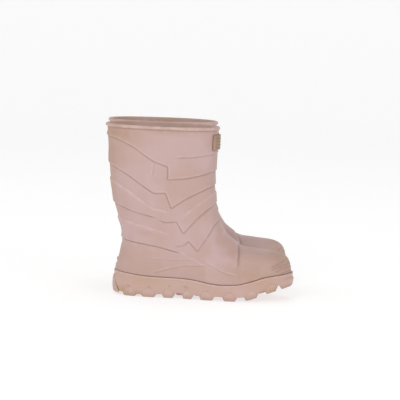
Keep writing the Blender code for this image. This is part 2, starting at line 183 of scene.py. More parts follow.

# Wrapped bands: how proud the band's edge stands, over what reach it thins away, over what length the
# start and the finish of the line fade, how dark the painted shadow beside the line is, from 0 (its edge
# faces up and gets the strongest painted highlight) to 1 (its edge faces down), and the line (x, z) in the
# side view with the band on its left. A line is one or more runs that meet at sharp corners.
BANDS = (
    (1.15, 24.0, 0.0, 0.0, 0.8, (
        ((-16, 167), (0, 165), (19, 158), (45, 142.5), (59, 137.5)),
        ((59, 137.5), (59, 124.5)),
        ((59, 124.5), (76, 126), (112, 135)),
    )),
    (0.9, 16.0, 12.0, 0.0, 0.7, (((60, 147), (82, 148), (114, 153)),)),
    (0.8, 12.0, 4.0, 2.0, 0.5, (((42, 127), (44, 141)),)),
    (1.15, 20.0, 0.0, 0.0, 0.9, (
        ((-16, 141), (-3, 136.5), (14, 129), (38, 114), (46, 110), (57, 110.5)),
        ((57, 110.5), (63, 95)),
        ((63, 95), (78, 105), (112, 122)),
    )),
    (1.0, 18.0, 8.0, 0.0, 0.0, (((62, 91), (46, 94), (35, 100), (12, 114), (-16, 127)),)),
    (1.1, 18.0, 0.0, 6.0, 0.8, (((-12, 98), (6, 95), (26, 89), (48, 84.5)),)),
    (1.1, 17.0, 5.0, 0.0, 0.8, (
        ((50, 82), (58, 80), (69, 81)),
        ((69, 81), (76, 69)),
        ((76, 69), (90, 85), (114, 106)),
    )),
    (0.9, 12.0, 0.0, 8.0, 0.0, (((114, 117), (98, 106), (85, 96), (71, 83)),)),
    (1.0, 16.0, 10.0, 0.0, 0.0, (((65, 67), (45, 72), (0, 82), (-10, 84)),)),
    (1.2, 16.0, 0.0, 5.0, 0.9, (((-8, 62), (17, 58), (48, 54), (73, 48.5)),)),
    (1.0, 15.0, 4.0, 0.0, 0.7, (
        ((68, 55), (76, 56.5), (82, 61)),
        ((82, 61), (91, 51)),
        ((91, 51), (101, 67), (107, 78), (118, 88)),
    )),
    (0.28, 12.0, 8.0, 0.0, 0.05, (((112, 42), (114, 50), (114.5, 59), (119, 74)),)),
    (0.7, 8.0, 6.0, 3.0, 0.1, (((101, 36), (90, 42), (74, 50)),)),
    (0.8, 9.0, 3.0, 6.0, 0.3, (((100, 38), (109, 35.5), (114, 32), (134, 26)),)),
    (0.75, 9.0, 8.0, 5.0, 0.4, (((44, 25), (61, 30.5), (78, 34.5), (101, 36)),)),
    (0.45, 10.0, 10.0, 6.0, 0.3, (((36, 41), (60, 40), (91, 42)),)),
    (0.75, 14.0, 3.0, 0.0, 0.15, (((129, 34), (132.5, 38), (132.5, 48), (128, 62)),)),
    (0.6, 10.0, 3.0, 4.0, 0.2, (((149, 21), (158, 27), (161, 36)),)),
)
# Thin creases: depth, width, and the points they run through
CREASES = (
    (0.45, 0.9, ((134, 36), (134, 47), (131, 57))),
    (0.5, 0.8, ((167, 36), (175, 39), (181, 43))),
    (0.5, 0.8, ((168, 33.5), (180, 37.5), (192, 42))),
    (0.5, 0.8, ((172, 31), (184, 35.5), (192, 37))),
    (0.4, 0.8, ((177, 29), (184, 31), (192, 32.5))),
)
# Half the width of a band's edge, and where the painted shadow below it and the painted highlight on it run:
# how far from the edge, and how wide
BAND_STEP = 0.75
SHADOW_AWAY = 0.7
SHADOW_WIDTH = 0.6
HIGHLIGHT_AWAY = 0.8
HIGHLIGHT_WIDTH = 0.9
# Spots on the upper and sole: x, z, reach along x and z, strength. On the upper, the long spots at x -12 and
# 110 down the leg's back and front edges, and those at x 4, 60, 142 and 180 low over the heel, foot and toe,
# are painted shade, darker towards the edges and the bottom; the other spots are stains.
UPPER_STAINS_AND_SHADE = (
    (-2, 172, 36, 12, 1.0), (-8, 148, 13, 20, 1.0), (52, 175, 34, 5, 0.8), (112, 164, 10, 12, 0.8),
    (36, 67, 8, 3, 0.4), (-12, 110, 13, 50, 1.0), (110, 118, 9, 40, 0.45), (4, 45, 16, 22, 0.6),
    (60, 28, 70, 9, 0.45), (142, 28, 42, 15, 0.7), (180, 38, 18, 22, 0.9), (2, 84, 12, 12, 0.5),
)
SOLE_STAINS = (
    (14.0, 6.0, 9.0, 5.0, 1.0), (29.0, 3.0, 5.0, 3.0, 0.8), (38.0, 18.0, 30.0, 7.0, 0.35),
    (80.0, 12.0, 5.0, 2.0, 0.5), (168.0, 14.0, 7.0, 4.0, 0.9), (150.0, 18.0, 24.0, 6.0, 0.35),
)

# The floor in metres: its flat radius, the bend up into the wall, the wall's top, and how far it lies below 0
STAGE_FLAT = 3.2
STAGE_BEND = 1.2
STAGE_WALL = 3.5
STAGE_DROP = 0.0003
STAGE_SIDES = 64
STAGE_STEPS = 12
FLOOR_GREY = 0.45
FLOOR_GLOW = 0.63
WORLD_GLOW = 0.35
# Lights in metres and watts: name, place, side, power
LIGHTS = (
    ("key", (-0.7, -1.8, 1.3), 1.0, 12.0),
    ("fill", (1.3, -1.5, 0.7), 1.0, 4.0),
    ("overhead", (0.0, 0.5, 1.9), 1.2, 6.0),
)
LIGHTS_AIM = (0.0, 0.0, 0.09)
# The photo's camera, in metres, degrees and millimetres of lens
CAMERA_AT = (0.0012, -1.940, 0.299)
CAMERA_PITCH = 5.98
CAMERA_ROLL = 1.9
CAMERA_LENS = 163.5


def smooth_through(points):
    """A smooth curve through (x, y) points with no overshoot, as a function of x."""
    xs = np.array([p[0] for p in points], float)
    ys = np.array([p[1] for p in points], float)
    step = np.diff(xs)
    slope = np.diff(ys) / step
    tangent = np.zeros(len(xs))
    tangent[0], tangent[-1] = slope[0], slope[-1]
    for i in range(1, len(xs) - 1):
        if slope[i - 1] * slope[i] > 0:
            near = 2 * step[i] + step[i - 1]
            far = step[i] + 2 * step[i - 1]
            tangent[i] = (near + far) / (near / slope[i - 1] + far / slope[i])

    def value(x):
        x = np.clip(np.asarray(x, float), xs[0], xs[-1])
        i = np.clip(np.searchsorted(xs, x, side="right") - 1, 0, len(xs) - 2)
        h = step[i]
        s = (x - xs[i]) / h
        return (
            ys[i] * (1 + 2 * s) * (1 - s) ** 2
            + ys[i + 1] * s * s * (3 - 2 * s)
            + h * tangent[i] * s * (1 - s) ** 2
            + h * tangent[i + 1] * s * s * (s - 1)
        )

    return value


SECTION_CURVES = [smooth_through(list(enumerate(column))) for column in zip(*SECTIONS)]
SAG_CURVE = smooth_through(SAG)
RECESS_CURVE = smooth_through(RECESS_FLOOR)
SPRING_CURVE = smooth_through(TOE_SPRING)
GAP_CURVE = smooth_through(LUG_GAPS)


def rise(a, b, x):
    """0 below a, 1 above b, and a smooth rise between."""
    s = np.clip((x - a) / (b - a), 0.0, 1.0)
    return s * s * (3.0 - 2.0 * s)


def distance_along(points):
    """The distance of each point from the first, along the line through them."""
    steps = np.linalg.norm(np.diff(points, axis=0), axis=1)
    return np.concatenate(([0.0], np.cumsum(steps)))


def outline(k, count):
    """The closed outline at slice k: front first, then the outer side, back and inner side."""
    back_x, back_z, front_x, front_z, half_width = [c(k) for c in SECTION_CURVES[:5]]
    widest, fore, aft, sag, swing = [c(k) for c in SECTION_CURVES[5:]]
    angle = np.linspace(0.0, math.pi, 1441)
    c, s = np.cos(angle), np.abs(np.sin(angle))
    power = np.where(c > 0, 2.0 / fore, 2.0 / aft)
    reach = np.where(c > 0, 1.0 - widest, widest)
    along = widest + np.sign(c) * reach * np.abs(c) ** power
    waist = 1.0 - sag * WAIST * np.exp(-(((along - WAIST_AT) / WAIST_SPREAD) ** 2))
    across = half_width * s**power * waist
    length = front_x - back_x
    run = np.concatenate(([0.0], np.cumsum(np.hypot(np.diff(along * length), np.diff(across)))))
    even = np.linspace(0.0, run[-1], count // 2 + 1)
    along = np.interp(even, run, along)
    across = np.interp(even, run, across)
    x = back_x + along * length
    z = back_z + along * (front_z - back_z) + sag * SAG_CURVE(along)
    middle = -swing * along**2
    outer = np.stack([x, middle + across, z], axis=1)
    inner = np.stack([x, middle - across, z], axis=1)[1:-1]
    return np.concatenate([outer, inner[::-1]])


def normals(k, count):
    """Outward normals of the upper at slice k."""
    step = 0.05
    above = outline(max(k - step, 0.0), count)
    below = outline(min(k + step, LAST), count)
    loop = outline(k, count)
    around = np.roll(loop, -1, axis=0) - np.roll(loop, 1, axis=0)
    normal = np.cross(below - above, around)
    return normal / np.linalg.norm(normal, axis=1, keepdims=True)


def flat_normals(loop):
    """Outward normals of an outline, seen from above."""
    around = np.roll(loop, -1, axis=0) - np.roll(loop, 1, axis=0)
    normal = np.stack([around[:, 1], -around[:, 0], np.zeros(len(loop))], axis=1)
    return normal / np.linalg.norm(normal, axis=1, keepdims=True)


def skin(k, inset, count):
    """The upper's outline at slice k, moved inwards."""
    return outline(k, count) - inset * normals(k, count)


def foot(inset, count, height=None):
    """The sole's outline moved inwards, at the sole edge's height or at a height for each fraction."""
    loop = outline(LAST, count)
    moved = loop - inset * flat_normals(loop)
    if height is not None:
        x = moved[:, 0]
        moved[:, 2] = RECESS_CURVE((x - x.min()) / (x.max() - x.min())) + height
    return moved


def shell_inside(k):
    """How far the shell's inside lies from its outside at slice k: more at the foot, to fit the sole."""
    s = min(max((k - (LAST - 3.0)) / 3.0, 0.0), 1.0)
    return WALL + (FOOT_INSET - WALL) * s * s * (3.0 - 2.0 * s)


def lining_outside(k):
    return shell_inside(k) + GAP


def lining_inside(k):
    return lining_outside(k) + LINING


# Relief


def smooth_run(points, step=1.5):
    """Points along a smooth curve through points, at even steps."""
    p = np.array(points, float)
    if len(p) == 2:
        return p
    knots = distance_along(p)
    curves = [smooth_through(list(zip(knots, p[:, i]))) for i in range(2)]
    t = np.linspace(0.0, knots[-1], max(3, int(knots[-1] / step)))
    return np.stack([curve(t) for curve in curves], axis=1)


def line_through(runs):
    """One line through runs that meet end to end."""
    parts = [smooth_run(run) for run in runs]
    return np.concatenate([parts[0]] + [part[1:] for part in parts[1:]])


def signed_distance(x, z, line):
    """Distance from a line, positive on its left, and how far along the line the nearest point is."""
    start, end = line[:-1], line[1:]
    along = end - start
    length = np.linalg.norm(along, axis=1)
    unit = along / length[:, None]
    left = np.stack([-unit[:, 1], unit[:, 0]], axis=1)
    corner = np.concatenate([left[:1], left[:-1] + left[1:], left[-1:]])
    before = np.concatenate(([0.0], np.cumsum(length)))
    best = np.full(x.shape, 1e9)
    signed = np.zeros(x.shape)
    where = np.zeros(x.shape)
    for i in range(len(start)):
        dx, dz = x - start[i, 0], z - start[i, 1]
        t = dx * unit[i, 0] + dz * unit[i, 1]
        held = np.clip(t, 0.0, length[i])
        gap = np.hypot(dx - held * unit[i, 0], dz - held * unit[i, 1])
        side = dx * left[i, 0] + dz * left[i, 1]
        side = np.where(t < 0.0, dx * corner[i, 0] + dz * corner[i, 1], side)
        past = (x - end[i, 0]) * corner[i + 1, 0] + (z - end[i, 1]) * corner[i + 1, 1]
        side = np.where(t > length[i], past, side)
        nearer = gap < best
        best = np.where(nearer, gap, best)
        signed = np.where(nearer, np.sign(side) * gap, signed)
        where = np.where(nearer, before[i] + t, where)
    return signed, where, before[-1]


def end_fade(where, total, start, finish):
    """1 along a line, falling to 0 at an end that fades and past it."""
    fade = np.ones(where.shape)
    if start > 0.0:
        fade = fade * rise(-1.0, start, where)
    if finish > 0.0:
        fade = fade * rise(-1.0, finish, total - where)
    return fade


def wrap_relief(x, z):
    """Height of the wrapped bands and their creases over the upper's plain surface, the painted shade beside
    the bands' edges and in the creases, and the painted highlight on the bands' edges.
    """
    height = np.zeros(x.shape)
    painted_shade = np.zeros(x.shape)
    painted_highlight = np.zeros(x.shape)
    for proud, reach, start, finish, dark, runs in BANDS:
        away, where, total = signed_distance(x, z, line_through(runs))
        fade = end_fade(where, total, start, finish)
        step = rise(-BAND_STEP, BAND_STEP, away)
        thin = 1.0 - rise(0.0, reach, away)
        height += proud * fade * step * thin
        # Painted shadow on the low side beside each band's edge, and a painted highlight on the band's edge
        shadow = np.exp(-(((away + SHADOW_AWAY) / SHADOW_WIDTH) ** 2))
        painted_shade = np.maximum(painted_shade, dark * fade * proud * shadow)
        light = (1.0 - 0.6 * dark) * fade * proud
        painted_highlight = np.maximum(painted_highlight, light * np.exp(-(((away - HIGHLIGHT_AWAY) / HIGHLIGHT_WIDTH) ** 2)))
    for depth, width, points in CREASES:
        away, where, total = signed_distance(x, z, line_through((points,)))
        fade = end_fade(where, total, 2.5, 2.5)
        line = fade * np.exp(-((away / width) ** 2))
        height -= depth * line
        # Painted shade in the thin creases
        painted_shade = np.maximum(painted_shade, 0.8 * line)
    return height, painted_shade, painted_highlight


def stain_and_shade_spots(x, z, stains):
    """How strongly soft oval spots cover a point; some spots are stains, some painted shade."""
    total = np.zeros(x.shape)
    for middle_x, middle_z, reach_x, reach_z, strength in stains:
        spot = np.exp(-(((x - middle_x) / reach_x) ** 2) - ((z - middle_z) / reach_z) ** 2)
        total = np.maximum(total, strength * spot)
    return total


def ripple(points, wavelength, seed, waves=9):
    """Smooth uneven noise between about -1 and 1 at points in millimetres."""
    random = np.random.default_rng(seed)
    total = np.zeros(points.shape[:-1])
    for _ in range(waves):
        direction = random.normal(size=3)
        direction /= np.linalg.norm(direction)
        rate = 2 * math.pi / (wavelength * random.uniform(0.7, 1.4))
        total += np.sin(points @ direction * rate + random.uniform(0, 2 * math.pi))
    return total / math.sqrt(waves)


# Meshes


def place(points, side):
    """From a boot's frame in millimetres to the row's frame in metres. side is 1 for the left boot."""
    p = np.asarray(points, float) * (1.0, side, 1.0)
    turn = math.radians(TOE_OUT_DEG) * side
    x = p[:, 0] - BOOT_MIDDLE_X
    back = LEFT_STANDS_BACK if side > 0 else 0.0
    moved_x = x * math.cos(turn) - p[:, 1] * math.sin(turn) - back
    moved_y = x * math.sin(turn) + p[:, 1] * math.cos(turn) + side * BOOT_SPACING / 2
    return np.stack([moved_x, moved_y, p[:, 2]], axis=1) * MM


def tube_faces(rows, count, closed=False):
    """Quads between successive loops, and between the last and the first where closed."""
    r = np.arange(rows if closed else rows - 1)[:, None]
    i = np.arange(count)[None, :]
    j = (i + 1) % count
    below = (r + 1) % rows
    corners = [r * count + i, r * count + j, below * count + j, below * count + i]
    return np.stack(corners, axis=-1).reshape(-1, 4)


def cap_faces(start, count):
    """Strips across a loop, each from its outer side to its inner side."""
    faces = []
    for i in range(count // 2):
        ring = [i, i + 1, count - i - 1, (count - i) % count]
        faces.append([start + p % count for p in dict.fromkeys(ring)])
    return faces


def strips_inside(loop, strips):
    """Points across a loop, from each outer point to its inner partner, and each one's share of the way."""
    half = len(loop) // 2
    outer, inner = loop[1:half], loop[:half:-1]
    share = np.linspace(0.0, 1.0, strips + 1)[1:-1]
    across = inner - outer
    return outer[:, None, :] + across[:, None, :] * share[None, :, None], share, outer, inner


def strip_faces(base, count, strips):
    """Faces over a loop whose points start at base, with strips_inside's points straight after it."""
    half = count // 2
    grid = np.zeros((half - 1, strips + 1), int)
    grid[:, 0] = base + np.arange(1, half)
    grid[:, -1] = base + np.arange(count - 1, half, -1)
    inside = np.arange((half - 1) * (strips - 1)).reshape(half - 1, strips - 1)
    grid[:, 1:-1] = base + count + inside
    corners = [grid[:-1, :-1], grid[1:, :-1], grid[1:, 1:], grid[:-1, 1:]]
    faces = np.stack(corners, axis=-1).reshape(-1, 4).tolist()
    faces += [[base, p, q] for p, q in zip(grid[0, :-1], grid[0, 1:])]
    faces += [[base + half, q, p] for p, q in zip(grid[-1, :-1], grid[-1, 1:])]
    return faces


def grid_faces(rows, columns, start=0):
    """Quads over a grid of points."""
    r = np.arange(rows - 1)[:, None]
    c = np.arange(columns - 1)[None, :]
    a = start + r * columns + c
    return np.stack([a, a + 1, a + columns + 1, a + columns], axis=-1).reshape(-1, 4)


def plate_solid(outer, inner):
    """Points and faces of a solid between two grids of the same shape."""
    rows, columns = outer.shape[:2]
    count = rows * columns
    points = np.concatenate([outer.reshape(-1, 3), inner.reshape(-1, 3)])
    faces = grid_faces(rows, columns).tolist() + grid_faces(rows, columns, count)[:, ::-1].tolist()
    edge = list(range(columns))
    edge += [r * columns + columns - 1 for r in range(1, rows)]
    edge += [(rows - 1) * columns + c for c in range(columns - 2, -1, -1)]
    edge += [r * columns for r in range(rows - 2, 0, -1)]
    for i, a in enumerate(edge):
        b = edge[(i + 1) % len(edge)]
        faces.append([b, a, count + a, count + b])
    return points, faces


def add_piece(name, points, faces, side, look, nodes, marks=None):
    """A closed piece of a boot that faces outwards, rides on the boot's body and stands for CAD nodes."""
    mesh = bpy.data.meshes.new(name)
    mesh.from_pydata(place(points, side).tolist(), [], faces)
    shape = bmesh.new()
    shape.from_mesh(mesh)
    bmesh.ops.recalc_face_normals(shape, faces=shape.faces)
    shape.to_mesh(mesh)
    shape.free()
    mesh.shade_smooth()
    for mark, values in (marks or {}).items():
        layer = mesh.attributes.new(mark, "FLOAT", "POINT")
        layer.data.foreach_set("value", np.asarray(values, np.float32).ravel())
    mesh.materials.append(look)
    obj = bpy.data.objects.new(name, mesh)
    bpy.context.scene.collection.objects.link(obj)
    prefix = "right" if side < 0 else "left"
    body = f"{prefix}_insole" if "insole" in name else f"{prefix}_boot"
    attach(obj, body)
    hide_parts(*[f"{prefix}_{n}" for n in nodes])
    return obj


def add_upper(prefix, side, look):
    """The moulded upper: from the foot up its outside, over the rim bead and down its inside."""
    count = AROUND_UPPER
    bottom = [foot(LIP_INSET + GAP, count, GAP), foot(LIP_INSET + GAP, count)]
    # Slices for the rows of the outside
    fine = np.linspace(BEAD[0][0] + 0.015, LAST, 1200)
    ends = np.array([[c(k) for c in SECTION_CURVES[:4]] for k in fine])
    back = np.hypot(*np.diff(ends[:, 0:2], axis=0).T)
    front = np.hypot(*np.diff(ends[:, 2:4], axis=0).T)
    run = np.concatenate(([0.0], np.cumsum(ROW_SHARES[0] * front + ROW_SHARES[1] * back)))
    rows = np.interp(np.linspace(0.0, run[-1], UPPER_ROWS), run, fine)
    base = np.array([outline(k, count) for k in rows])
    down = np.gradient(base, axis=0)
    around = np.roll(base, -1, axis=1) - np.roll(base, 1, axis=1)
    normal = np.cross(down, around)
    normal /= np.linalg.norm(normal, axis=2, keepdims=True)
    x, z = base[..., 0], base[..., 2]
    height, painted_shade, painted_highlight = wrap_relief(x, z)
    plate = rise(*PLATE_SEAT, x) * rise(PLATE_BOTTOM - 1.5, PLATE_BOTTOM + 0.5, z)
    clear = rise(*RELIEF_START, rows)[:, None] * (1.0 - plate)
    above_sole = rise(0.0, RELIEF_END, z - base[-1, :, 2])
    height = (height + UNEVEN * ripple(base, UNEVEN_LENGTH, 3)) * clear * above_sole
    painted_shade = painted_shade * clear
    painted_highlight = painted_highlight * clear
    outside = base + normal * height[..., None]
    bead = [skin(k, -out, count) for k, out in BEAD]
    inside = [skin(k, shell_inside(k), count) for k in np.linspace(0.45, LAST - 1.0, INSIDE_ROWS)]
    floor = [foot(FOOT_INSET, count), foot(FOOT_INSET, count, GAP + SHELL_FLOOR)]
    loops = bottom + list(outside[::-1]) + bead + inside + floor
    points = np.concatenate(loops)
    faces = tube_faces(len(loops), count).tolist() + cap_faces(0, count)
    faces += cap_faces((len(loops) - 1) * count, count)
    marks = {"painted_shade": np.zeros((len(loops), count)), "painted_highlight": np.zeros((len(loops), count))}
    first = len(bottom)
    span = slice(first, first + len(rows))
    marks["painted_shade"][span] = painted_shade[::-1]
    marks["painted_highlight"][span] = painted_highlight[::-1]
    bead_start = first + len(rows)
    # Painted shade under the rim bead, and a painted highlight over its top
    marks["painted_shade"][bead_start + 1 : bead_start + 3] = [[0.4], [0.55]]
    marks["painted_highlight"][bead_start + 4 : bead_start + 10] = 0.85
    grid = np.array(loops)
    marks["stain_and_shade"] = stain_and_shade_spots(grid[..., 0], grid[..., 2], UPPER_STAINS_AND_SHADE)
    # The rim is stained; the shell's inside is painted evenly darker, as painted shade
    inside_start = bead_start + len(BEAD)
    rim = marks["stain_and_shade"][bead_start + 2 : inside_start]
    marks["stain_and_shade"][bead_start + 2 : inside_start] = np.maximum(rim, RIM_STAIN)
    marks["stain_and_shade"][inside_start:] = INSIDE_SHADE
    add_piece(f"{prefix}_upper", points, faces, side, look, ("shell",), marks)


def lug_share(x):
    """1 over a side lug and 0 over a gap between two, by x."""
    share = np.zeros(np.shape(x))
    for middle, length in zip(LUG_MIDDLES, LUG_LENGTHS):
        away = np.abs(x - middle)
        share = np.maximum(share, 1.0 - rise(length / 2 - LUG_EDGE, length / 2 + LUG_EDGE, away))
    return share


def falls_at(reach, away):
    """1 within a tread block's reach and 0 past it, with a soft edge."""
    return 1.0 - rise(reach - TREAD_EDGE, reach + TREAD_EDGE, away)


def lug_face(x, z):
    """How much of a lug's arched face covers a point of the side wall."""
    face = np.zeros(np.shape(x))
    for middle, length in zip(LUG_MIDDLES, LUG_LENGTHS):
        low = float(SPRING_CURVE(middle))
        up = np.clip((z - low) / LUG_FACE_TALL, 0.0, 2.0)
        half = length / 2 * (1.0 - 0.3 * up)
        q = (np.abs(x - middle) / np.maximum(half, 0.5)) ** 3 + up**3
        face = np.maximum(face, 1.0 - rise(0.72, 1.18, q))
    return face


def bumper_reach(z):
    """Half the bumper's length round the heel at height z."""
    low = (BUMPER_TOP - z) / (BUMPER_TOP - BUMPER_BOTTOM)
    return BUMPER_HALF_TOP + low * (BUMPER_HALF_BOTTOM - BUMPER_HALF_TOP)


def add_outsole(prefix, side, look):
    """The sole: from the recess over the lip, down the side wall and across the tread."""
    count = AROUND_SOLE
    edge = outline(LAST, count)
    out = flat_normals(edge)
    x = edge[:, 0]
    top = edge[:, 2] - GAP
    run = distance_along(edge[:, :2])
    from_heel = np.abs(run - run[count // 2])
    low = SPRING_CURVE(x) + GAP_CURVE(x) * (1.0 - lug_share(x))
    loops = [foot(LIP_INSET, count, 0.0), foot(LIP_INSET, count)]
    loops[1][:, 2] = top
    # The side wall, from the lip down: height, and how far it stands out, round the edge
    wall = [(top - deep, np.full(count, proud)) for deep, proud in LIP]
    start = top - LIP[-1][0]
    foot_of_wall = low + 1.0
    for s in np.linspace(0.0, 1.0, WALL_ROWS)[1:]:
        z = start + (foot_of_wall - start) * s
        belly = LIP[-1][1] + 0.55 * math.sin(math.pi * min(1.0, 1.15 * s)) - 0.45 * s * s
        proud = belly + LUG_FACE_PROUD * lug_face(x, z)
        wall.append((z, proud))
    wall += [(low + up, proud - drawn) for up, drawn in WALL_FOOT]
    painted_shade = [np.zeros(count)] * 2
    painted_highlight = [np.zeros(count)] * 2
    for z, proud in wall:
        slot = np.zeros(count)
        for slot_x, slot_z in SLOTS:
            slot = np.maximum(slot, np.exp(-(((x - slot_x) / 1.7) ** 4) - ((z - slot_z) / 0.8) ** 2))
        past = from_heel - (bumper_reach(z) + 0.7)
        seat = (1.0 - rise(-0.5, 0.4, past)) * (1.0 - rise(BUMPER_TOP + 0.3, BUMPER_TOP + 1.2, z))
        rim = np.exp(-(((past - 0.1) / 0.7) ** 2)) * (1.0 - rise(BUMPER_TOP, BUMPER_TOP + 1.5, z))
        proud = proud * (1.0 - seat) + (LIP_PROUD - BUMPER_SEAT - 0.4) * seat - 0.35 * slot
        loop = edge + out * proud[:, None]
        loop[:, 2] = z
        loops.append(loop)
        # Painted shade in the slots, along the bumper's edge, low on the wall darkest at the ground, and
        # round the edges of the lug faces; painted highlight on the lug faces
        face = lug_face(x, z)
        low_shade = 0.5 * (1.0 - rise(0.0, 6.0, z - SPRING_CURVE(x)))
        edges = np.maximum(np.maximum(0.45 * slot, 0.5 * rim), low_shade)
        painted_shade.append(edges + 0.6 * face * (1.0 - face))
        painted_highlight.append(0.4 * face)
    # The lip has no painted shade, and a painted highlight where it stands out most
    for i, (deep, _) in enumerate(LIP):
        painted_highlight[2 + i] = np.full(count, math.exp(-(((deep - 0.9) / 0.7) ** 2)))
        painted_shade[2 + i] = np.zeros(count)
    base = (len(loops) - 1) * count
    faces = tube_faces(len(loops), count).tolist() + cap_faces(0, count)
    faces += strip_faces(base, count, TREAD_STRIPS)
    # The tread: side lugs in from the edge, and smaller centre lugs level with the gaps between them
    strips, s, outer, inner = strips_inside(loops[-1], TREAD_STRIPS)
    sx, sy = strips[..., 0], strips[..., 1]
    from_edge = np.minimum(s, 1.0 - s)[None, :] * np.linalg.norm(inner - outer, axis=1)[:, None]
    tread = lug_share(sx) * falls_at(LUG_DEPTH, from_edge)
    middle_y = (outer[:, 1] + inner[:, 1])[:, None] / 2
    for before, after in zip(LUG_MIDDLES[2:-2], LUG_MIDDLES[3:-1]):
        block = falls_at(CENTRE_LUG / 2, np.abs(sx - (before + after) / 2))
        block = block * falls_at(CENTRE_LUG_HALF, np.abs(sy - middle_y))
        tread = np.maximum(tread, block)
    inward = rise(0.0, 4.0, from_edge)
    deep = GAP_CURVE(sx) * (1.0 - inward) + LUG_HEIGHT * inward
    strips[..., 2] = SPRING_CURVE(sx) + deep * (1.0 - tread)
    points = np.concatenate([*loops, strips.reshape(-1, 3)])
    plain = np.zeros(sx.size)
    marks = {
        "painted_shade": np.concatenate([*painted_shade, plain]),
        "painted_highlight": np.concatenate([*painted_highlight, plain]),
        "stain_and_shade": stain_and_shade_spots(points[:, 0], points[:, 2], SOLE_STAINS),
    }
    add_piece(f"{prefix}_sole", points, faces, side, look, ("outsole",), marks)


def add_bumper(prefix, side, look):
    """A rounded pad round the heel, with a painted highlight at its edges."""
    edge = outline(LAST, AROUND_SOLE)
    out = flat_normals(edge)
    run = distance_along(edge[:, :2])
    v = np.linspace(-1.0, 1.0, BUMPER_ROWS)
    u = np.linspace(-1.0, 1.0, BUMPER_COLUMNS)
    half_height = (BUMPER_TOP - BUMPER_BOTTOM) / 2
    seat = LIP_PROUD - BUMPER_SEAT
    outer, inner = [], []
    for row in v:
        z = BUMPER_BOTTOM + (row + 1.0) * half_height
        spots = run[AROUND_SOLE // 2] + u * bumper_reach(z)
        base = np.stack([np.interp(spots, run, edge[:, i]) for i in range(2)], axis=1)
        away = np.stack([np.interp(spots, run, out[:, i]) for i in range(2)], axis=1)
        dome = (1.0 - np.abs(u) ** 9) ** 0.5 * (1.0 - abs(row) ** 5) ** 0.5
        bulge = 1.0 - 0.3 * row * row
        face = seat + 0.5 + (BUMPER_THICK - 0.6) * bulge * dome
        outer.append(np.column_stack([base + away * face[:, None], np.full(len(u), z)]))
        inner.append(np.column_stack([base + away * seat, np.full(len(u), z)]))
    points, faces = plate_solid(np.array(outer), np.array(inner))
    edge_highlight = np.exp(-(((1.0 - np.maximum(np.abs(u)[None, :], np.abs(v)[:, None])) / 0.12) ** 2))
    marks = {
        "painted_highlight": np.concatenate([edge_highlight.ravel(), np.zeros(edge_highlight.size)]),
        "painted_shade": np.zeros(2 * edge_highlight.size),
        "stain_and_shade": stain_and_shade_spots(points[:, 0], points[:, 2], SOLE_STAINS),
    }
    add_piece(f"{prefix}_bumper", points, faces, side, look, ("heel_bumper",), marks)


def add_plate(prefix, side, look):
    """A small plate on the front of the leg, with a raised border and level grip ribs."""
    v = np.linspace(-1.0, 1.0, PLATE_ROWS)
    u = np.linspace(-1.0, 1.0, PLATE_ROWS)
    slices = np.linspace(0.0, 2.0, 1201)
    heights = SECTION_CURVES[1](slices)
    outer, inner = [], []
    for row in v:
        z = (PLATE_TOP + PLATE_BOTTOM) / 2 - row * (PLATE_TOP - PLATE_BOTTOM) / 2
        k = float(slices[np.argmin(np.abs(heights - z - 1.0))])
        loop, away = outline(k, AROUND_LINING), normals(k, AROUND_LINING)
        order = np.argsort(loop[:, 1])
        front = order[loop[order, 0] > 50.0]
        y = u * PLATE_HALF
        base = np.stack([np.interp(y, loop[front, 1], loop[front, i]) for i in range(3)], axis=1)
        turn = np.stack([np.interp(y, loop[front, 1], away[front, i]) for i in range(3)], axis=1)
        dome = (1.0 - np.abs(u) ** 12) ** 0.5 * (1.0 - abs(row) ** 10) ** 0.5
        inset = rise(0.80, 0.86, np.maximum(np.abs(u) * 0.985, abs(row)))
        ribs = 0.5 + 0.5 * np.cos(row * PLATE_RIBS * math.pi)
        face = PLATE_GAP + 0.6 + dome * (PLATE_THICK - 1.3 + 0.45 * inset + 0.45 * (1.0 - inset) * ribs)
        outer.append(base + turn * face[:, None])
        inner.append(base + turn * PLATE_GAP)
    points, faces = plate_solid(np.array(outer), np.array(inner))
    border = np.maximum(np.abs(u)[None, :], np.abs(v)[:, None])
    groove = (0.5 - 0.5 * np.cos(v * PLATE_RIBS * math.pi))[:, None] * (border < 0.84)
    # Painted highlight on the raised border, and painted shade in the grooves between the ribs
    marks = {
        "painted_highlight": np.concatenate([(border > 0.88).ravel() * 0.8, np.zeros(border.size)]),
        "painted_shade": np.concatenate([groove.ravel() * 0.45, np.zeros(border.size)]),
        "stain_and_shade": np.full(2 * border.size, 0.8),
    }
    add_piece(f"{prefix}_plate", points, faces, side, look, ("front_plate",), marks)


def ring_solid(loops):
    """Points and faces of a closed ring whose cross-section is given by loops in turn."""
    count = len(loops[0])
    return np.concatenate(loops), tube_faces(len(loops), count, True).tolist()


def pile(loops, amount, seed):
    """Loops roughened like pile, each point moved along its normal seen from above."""
    moved = []
    for loop in loops:
        away = flat_normals(loop)
        bump = ripple(loop, 4.2, seed) * 0.6 + ripple(loop, 2.1, seed + 1) * 0.4
        moved.append(loop + away * (amount * bump)[:, None])
    return moved


def pile_walls(top, bottom, rows, rough, seed):
    """The plain outside and the rough inside of a pile lining, as loops from slice top to slice bottom."""
    count = AROUND_LINING
    back = [skin(k, lining_outside(k), count) for k in np.linspace(top, bottom, PILE_BACK_ROWS)]
    face = [skin(k, lining_inside(k) - PILE_DRAWN, count) for k in np.linspace(top, bottom, rows)]
    return back, pile(face, rough, seed)


